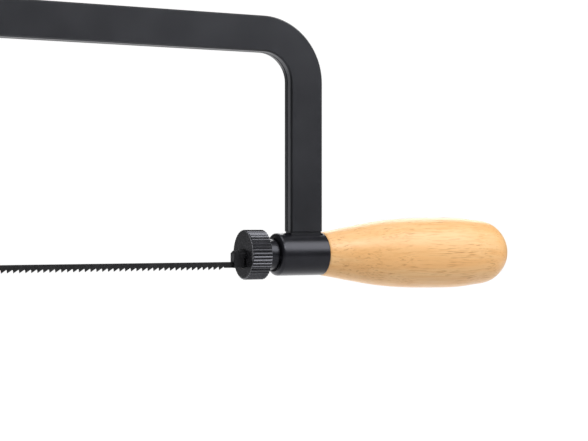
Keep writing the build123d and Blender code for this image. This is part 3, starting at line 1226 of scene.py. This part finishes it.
@dataclass
class TensionKnob:
    """The knurled wheel with the hollow screw that it turns."""

    ridges: int = 41
    steps: int = 10
    ridge_depth: float = 0.75
    ridge_form: float = 1.5
    front_drop: float = 1.0
    front_run: float = 0.6
    back_drop: float = 0.3
    back_run: float = 0.25
    bore_radius: float = 3.1
    spigot_radius: float = 6.52
    web: float = 5.5
    first_turn: float = -1.6
    eased: float = 0.12
    least_rise: float = 0.02
    shoulder_run: float = 0.4
    shoulder_rise: float = 0.72
    face_inset: float = 0.1

    def ridge(self, face: float, back: float, radius: float) -> bpy.types.Object:
        """One pitch of the wheel: a ridge, with its share of the face, the web and the bore.

        Args:
            face: X of the wheel's face.
            back: X of its back.
            radius: Over the ridges.

        Returns:
            A slice, open at its two flanks.
        """
        front_edge = radius - self.front_drop
        back_edge = radius - self.back_drop
        spigot_end = face + self.web
        half_turn = math.pi / self.ridges
        maker = bmesh.new()
        slices = []
        for step in range(self.steps + 1):
            share = 2 * step / self.steps - 1
            crest = radius - self.ridge_depth * abs(share) ** self.ridge_form
            rise = max(crest - front_edge, self.least_rise)
            front_run = self.front_run * rise / self.front_drop
            back_top = min(crest, back_edge) - self.least_rise
            back_run = self.back_run * max(crest - back_edge, self.least_rise) / self.back_drop
            shoulder = front_edge + (crest - front_edge) * self.shoulder_rise
            profile = [
                (back, self.spigot_radius), (back, back_top), (back - back_run, crest),
                (face + front_run, crest), (face + front_run * self.shoulder_run, shoulder),
                (face, front_edge - self.face_inset), (face, self.bore_radius + self.eased),
                (face + self.eased, self.bore_radius), (spigot_end, self.bore_radius),
                (spigot_end, self.spigot_radius),
            ]
            turn = half_turn * share
            places = [(x, r * math.sin(turn), r * math.cos(turn)) for x, r in profile]
            slices.append([maker.verts.new(corner) for corner in places])
        for first, second in zip(slices, slices[1:]):
            for i in range(len(first)):
                j = (i + 1) % len(first)
                maker.faces.new([first[i], second[i], second[j], first[j]])
        return Shape.from_maker("knob_ridge", maker)

    def build(self) -> None:
        """Make the wheel, and its screw with the thread inside the socket."""
        low, high = span_mm("tension_knob")
        growth = Growth("knurled_knob", {
            "Ridge": ("NodeSocketObject", self.ridge(low.x, high.x, high.z)),
            "Ridge count": ("NodeSocketInt", self.ridges),
        })
        sheet = growth.sheet
        points = sheet.node("GeometryNodeMeshLine", {"mode": "OFFSET"}, {
            "Count": growth.given("Ridge count"), "Offset": (0.0, 0.0, 0.0),
        })
        turn = sheet.node("GeometryNodeInputIndex") * (2 * math.pi) / growth.given("Ridge count")
        turn = turn + math.radians(self.first_turn)
        wheel = sheet.node("GeometryNodeInstanceOnPoints", {}, {
            "Points": points,
            "Instance": growth.geometry("Ridge"),
            "Rotation": sheet.node("ShaderNodeCombineXYZ", {}, {"X": turn}),
        })
        knob = growth.finish(wheel, KNOB_LACQUER)
        hand_over(Shape.smooth(knob, 34.0), Body.KNOB, Slot.KNOB, KNOB_LACQUER, "tension_knob")
        screw = Shape.from_node("tension_screw", "hollow_screw", 0.25)
        hand_over(Shape.smooth(screw), Body.KNOB, Slot.BLACKENED, SOCKET_LACQUER, "tension_screw")


@dataclass
class Holders:
    """The two blade holders with their nuts and washers."""

    eased: float = 0.14

    def build(self) -> None:
        """Make the holders from their CAD shapes, with eased edges."""
        rows = (
            ("heel_holder", "heel_blade_holder", Body.HEEL_HOLDER, Slot.BLACKENED, OXIDE),
            ("toe_holder", "toe_blade_holder", Body.TOE_HOLDER, Slot.BLACKENED, OXIDE),
            ("toe_washer", "toe_thrust_washer", Body.TOE_HOLDER, Slot.BLACKENED, OXIDE),
            ("toe_cap_nut", "toe_dome_nut", Body.TOE_HOLDER, Slot.BLACKENED, OXIDE),
            ("heel_lock_nut", "heel_shank_nut", Body.HEEL_HOLDER, Slot.STEEL, STEEL),
            ("thrust_washer", "screw_washer", Body.THRUST, Slot.STEEL, STEEL),
        )
        for node, name, body, slot, finish in rows:
            made = Shape.from_node(node, name, self.eased)
            hand_over(Shape.smooth(made), body, slot, finish, node)


@dataclass
class Blade:
    """The pinned blade, its teeth set to either side in turn."""

    pitch: float = 25.4 / 8
    teeth: int = 40
    start: float = 29.0
    back_z: float = -3.86
    edge_z: float = -7.04
    gullet_z: float = -6.5
    face_run: float = 0.25
    flat: float = 0.5
    set_out: float = 0.13
    tang_length: float = 16.0
    tang_slope: float = 3.0
    pin_dome: float = 0.2

    def tooth(self, name: str, lean: float, tip_z: float, half: float) -> bpy.types.Object:
        """One pitch of the blade with one tooth.

        Args:
            name: The object's name.
            lean: How far the tip is set across Y.
            tip_z: Height of the tip.
            half: Half the blade's thickness.

        Returns:
            A slice, open at its two ends.
        """
        outline = [
            (0.0, self.back_z), (self.pitch, self.back_z), (self.pitch, self.gullet_z),
            (self.pitch - self.flat, self.gullet_z), (self.face_run, tip_z), (0.0, self.gullet_z),
        ]
        plate, point = [0, 1, 2, 3, 5], [3, 4, 5]
        return Shape.strip(name, outline, half, (1, 5), {4: lean}, [plate, point])

    def build(self) -> None:
        """Make the blade and its two pins."""
        low, high = span_mm("blade")
        half = high.y
        first = low.x + self.start
        last = first + self.teeth * self.pitch
        tang = low.x + self.tang_length
        toe = [
            (low.x, self.edge_z), (first, self.edge_z), (first, self.gullet_z),
            (first, self.back_z), (tang, self.back_z), (tang - self.tang_slope, high.z),
            (low.x, high.z),
        ]
        heel = [
            (last, self.gullet_z), (last, self.edge_z), (high.x, self.edge_z),
            (high.x, self.back_z), (last, self.back_z),
        ]
        left = self.tooth("left_tooth", -self.set_out, low.z, half)
        right = self.tooth("right_tooth", self.set_out, low.z, half)
        growth = Growth("toothed_blade", {
            "Left tooth": ("NodeSocketObject", left),
            "Right tooth": ("NodeSocketObject", right),
            "Toe end": ("NodeSocketObject", Shape.strip("toe_end", toe, half, (2,))),
            "Heel end": ("NodeSocketObject", Shape.strip("heel_end", heel, half, (4,))),
            "Tooth count": ("NodeSocketInt", self.teeth),
            "Tooth pitch": ("NodeSocketFloat", self.pitch * MM),
            "First tooth": ("NodeSocketFloat", first * MM),
        })
        sheet = growth.sheet
        start, step = (
            sheet.node("ShaderNodeCombineXYZ", {}, {"X": growth.given(label)})
            for label in ("First tooth", "Tooth pitch")
        )
        points = sheet.node("GeometryNodeMeshLine", {"mode": "OFFSET"}, {
            "Count": growth.given("Tooth count"), "Start Location": start, "Offset": step,
        })
        pair = sheet.node("GeometryNodeJoinGeometry", {}, {
            0: [growth.geometry("Left tooth", True), growth.geometry("Right tooth", True)],
        })
        teeth = sheet.node("GeometryNodeInstanceOnPoints", {}, {
            "Points": points, "Instance": pair, "Pick Instance": True,
            "Instance Index": sheet.node("GeometryNodeInputIndex") % 2.0,
        })
        whole = sheet.node("GeometryNodeJoinGeometry", {}, {
            0: [teeth, growth.geometry("Toe end"), growth.geometry("Heel end")],
        })
        blade = growth.finish(whole, BLADE_STEEL)
        hand_over(Shape.smooth(blade, 12.0), Body.BLADE, Slot.BLACKENED, BLADE_STEEL, "blade")
        for end in ("heel", "toe"):
            node = f"{end}_blade_pin"
            pin = Shape.from_node(node, f"{end}_cross_pin", self.pin_dome, 3)
            hand_over(Shape.smooth(pin, 40.0), Body.BLADE, Slot.STEEL, OXIDE, node)


# ---------------------------------------------------------------- the studio


@dataclass(frozen=True)
class Softbox:
    """One square area light.

    Attributes:
        name: The light's name.
        stand: Where it stands.
        size: Length of its side.
        power: Its power in watts.
    """

    name: str
    stand: tuple[float, float, float]
    size: float
    power: float

    def build(self, aim: Vector) -> None:
        """Set the light up, turned to a point.

        Args:
            aim: The point that it faces.
        """
        light = bpy.data.lights.new(self.name, "AREA")
        light.shape = "SQUARE"
        light.size = self.size
        light.energy = self.power
        made = Shape.linked(self.name, light)
        made.location = self.stand
        direction = aim - Vector(self.stand)
        made.rotation_euler = direction.to_track_quat("-Z", "Y").to_euler()


@dataclass
class Studio:
    """Floor, lights and camera."""

    view_turn: float = 26.5
    lens: float = 88.8
    anchor_x: float = -0.1088
    distance: float = 0.7967
    left_of_axis: float = 0.02755
    below_axis: float = 0.01882
    floor_z: float = -0.25
    floor_radius: float = 1.7
    aim: tuple[float, float, float] = (-0.06, 0.0, 0.04)
    sun_energy: float = 0.8
    sun_spread: float = 30.0
    room_light: float = 0.11
    room_seen: float = 1.02
    softboxes: tuple[Softbox, ...] = (
        Softbox("key_softbox", (0.78, -1.1, 1.20), 1.2, 19.0),
        Softbox("fill_softbox", (-0.15, -1.7, 1.45), 0.9, 21.0),
        Softbox("right_card", (1.25, -1.5, 0.70), 0.6, 3.0),
        Softbox("left_card", (-1.4, 1.2, 0.15), 0.7, 3.0),
        Softbox("rear_softbox", (0.8, 1.5, 1.0), 1.1, 12.0),
    )

    def build(self) -> None:
        """Set up everything that isn't the saw."""
        self.floor()
        self.surroundings()
        self.overhead_sun()
        for softbox in self.softboxes:
            softbox.build(Vector(self.aim))
        self.camera()

    def floor(self) -> None:
        """A wide round floor."""
        maker = bmesh.new()
        bmesh.ops.create_circle(maker, cap_ends=True, segments=64, radius=self.floor_radius)
        mesh = bpy.data.meshes.new("studio_floor")
        maker.to_mesh(mesh)
        maker.free()
        mesh.transform(Matrix.Translation((0, 0, self.floor_z)))
        made = Shape.linked("studio_floor", mesh)
        made.data.materials.append(PAPER.material())

    def surroundings(self) -> None:
        """A white room, dimmer as a light than it looks."""
        world = bpy.data.worlds.new("studio_room")
        world.use_nodes = True
        bpy.context.scene.world = world
        sheet = NodeSheet(world.node_tree)
        seen = sheet.node("ShaderNodeLightPath", {}, {}, "Is Camera Ray")
        background = world.node_tree.nodes["Background"]
        background.inputs["Color"].default_value = (1.0, 1.0, 1.0, 1.0)
        strength = self.room_light + seen * (self.room_seen - self.room_light)
        world.node_tree.links.new(strength.socket, background.inputs["Strength"])

    def overhead_sun(self) -> None:
        """Even soft light from straight above, mostly for the floor."""
        light = bpy.data.lights.new("overhead_sun", "SUN")
        light.energy = self.sun_energy
        light.angle = math.radians(self.sun_spread)
        made = Shape.linked("overhead_sun", light)
        made.location = (0.0, 0.0, 2.0)

    def camera(self) -> None:
        """A level camera that looks a little along the blade."""
        turn = math.radians(self.view_turn)
        ahead = Vector((math.sin(turn), math.cos(turn), 0.0))
        right = Vector((math.cos(turn), -math.sin(turn), 0.0))
        up = Vector((0.0, 0.0, 1.0))
        anchor = Vector((self.anchor_x, 0.0, 0.0))
        data = bpy.data.cameras.new("camera")
        data.lens = self.lens
        data.sensor_width = 36.0
        made = Shape.linked("camera", data)
        stand = anchor + right * self.left_of_axis - ahead * self.distance + up * self.below_axis
        turned = Matrix((right, up, -ahead)).transposed().to_4x4()
        made.matrix_world = Matrix.Translation(stand) @ turned
        bpy.context.scene.camera = made
        bpy.context.scene.view_settings.view_transform = "Standard"


def main() -> None:
    """Build the saw's pieces in order, then the studio."""
    logging.basicConfig(level=logging.INFO, format="%(name)s %(message)s")
    for part in (Bow(), Sockets(), Grip(), TensionKnob(), Holders(), Blade()):
        LOG.info("building %s", type(part).__name__)
        part.build()
    Studio().build()


if __name__ == "__main__":
    main()
